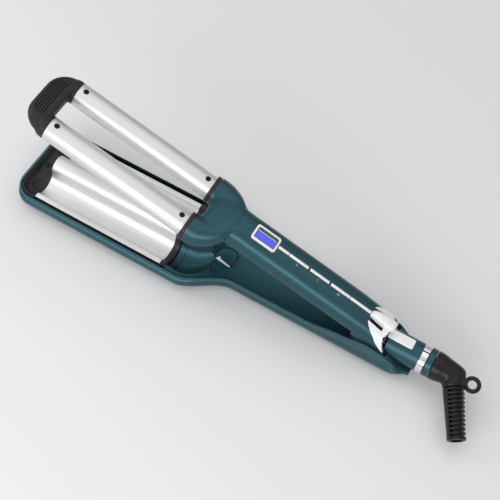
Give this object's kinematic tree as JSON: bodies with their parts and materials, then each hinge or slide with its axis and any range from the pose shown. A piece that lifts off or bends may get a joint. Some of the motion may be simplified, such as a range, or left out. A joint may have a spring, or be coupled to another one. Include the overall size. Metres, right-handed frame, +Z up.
{
  "type": "hair waver",
  "caption": "Hair waver with heated barrels on a spring-open upper arm that close into a wavy heated plate, with display, push buttons, lock slide, depth dial and swivel cord boot.",
  "frame": {"origin": "on the flat rest face of the lower arm, right under the hinge axis", "axes": "+X towards the cord end along the lower arm, +Y towards the far side, +Z up"},
  "size_m": [0.4051, 0.0844, 0.1124],
  "materials": {
    "teal_shell": "satin metallic teal lacquer",
    "teal_inner": "satin teal",
    "black_plastic": "fine matt",
    "collar_plastic": "matt, heat resistant",
    "satin_metal": "satin, coated",
    "chrome_trim": "polished",
    "bright_trim": "bright silver-white",
    "display_glass": "glossy, lit blue from behind",
    "black_screw": "blackened",
    "steel": "plain",
    "brass": "plain",
    "ceramic": "fired ceramic",
    "board": "green laminate"
  },
  "bodies": {
    "lower_arm": {"lower_shell": "teal_shell", "wave_plate": "satin_metal", "rear_insulator": "collar_plastic", "heater_carrier": "ceramic", "tip_frame": "black_plastic", "tip_frame_screw": "black_screw", "inner_cover": "teal_inner", "hinge_pin": "steel", "hinge_spring": "steel", "rear_stub": "teal_shell", "chrome_ring": "chrome_trim", "teal_ring": "teal_shell", "plate_heater_near": "ceramic", "plate_heater_far": "ceramic", "inner_cover_screw_1": "steel", "inner_cover_screw_2": "steel", "contact_brush_live": "brass", "contact_brush_neutral": "brass"},
    "upper_arm": {"upper_top_shell": "teal_shell", "upper_bottom_cover": "teal_inner", "tip_bridge": "black_plastic", "hinge_cap": "bright_trim", "display_bezel": "chrome_trim", "display_window": "display_glass", "display_module": "black_plastic", "main_board": "board", "barrel_near": "satin_metal", "barrel_collar_near": "collar_plastic", "barrel_heater_near": "ceramic", "hinge_bush_near": "brass", "barrel_screw_near_root": "black_screw", "barrel_screw_near_tip": "black_screw", "barrel_far": "satin_metal", "barrel_collar_far": "collar_plastic", "barrel_heater_far": "ceramic", "hinge_bush_far": "brass", "barrel_screw_far_root": "black_screw", "barrel_screw_far_tip": "black_screw", "button_switch_1": "black_plastic", "button_switch_2": "black_plastic", "button_switch_3": "black_plastic", "strip_inlay_front": "chrome_trim", "strip_inlay_rear": "chrome_trim", "upper_cover_screw_1": "steel", "upper_cover_screw_2": "steel"},
    "button_1": {"button_1": "chrome_trim"},
    "button_2": {"button_2": "chrome_trim"},
    "button_3": {"button_3": "chrome_trim"},
    "lock_slide": {"lock_slide": "bright_trim"},
    "depth_dial": {"depth_dial": "teal_inner", "dial_pointer": "chrome_trim"},
    "cord_swivel": {"swivel_boot": "black_plastic", "strain_relief": "black_plastic", "swivel_shaft": "black_plastic", "contact_ring_live": "brass", "contact_ring_neutral": "brass"}
  },
  "joints": [
    {"name": "arm_hinge", "type": "hinge", "parent": "lower_arm", "child": "upper_arm", "pos_m": [0, 0, 0.0215], "axis": [0, -1, 0], "range_deg": [0, 15.6], "stiffness_Nm_per_rad": 2.4, "springref_deg": -19.48},
    {"name": "button_1_press", "type": "slide", "parent": "upper_arm", "child": "button_1", "axis": [-0.2689, 0, -0.9632], "range_m": [0, 0.0006], "stiffness_N_per_m": 1500, "springref_m": -0.0005},
    {"name": "button_2_press", "type": "slide", "parent": "upper_arm", "child": "button_2", "axis": [-0.2689, 0, -0.9632], "range_m": [0, 0.0006], "stiffness_N_per_m": 1500, "springref_m": -0.0005},
    {"name": "button_3_press", "type": "slide", "parent": "upper_arm", "child": "button_3", "axis": [-0.2689, 0, -0.9632], "range_m": [0, 0.0006], "stiffness_N_per_m": 1500, "springref_m": -0.0005},
    {"name": "lock_travel", "type": "slide", "parent": "lower_arm", "child": "lock_slide", "axis": [-1, 0, 0], "range_m": [0, 0.005]},
    {"name": "dial_turn", "type": "hinge", "parent": "lower_arm", "child": "depth_dial", "pos_m": [-0.139, 0, 0.0155], "axis": [0, 0, 1], "range_deg": [0, 60]},
    {"name": "cord_turn", "type": "hinge", "parent": "lower_arm", "child": "cord_swivel", "pos_m": [0.045, 0, 0.0215], "axis": [1, 0, 0], "continuous": true}
  ]
}
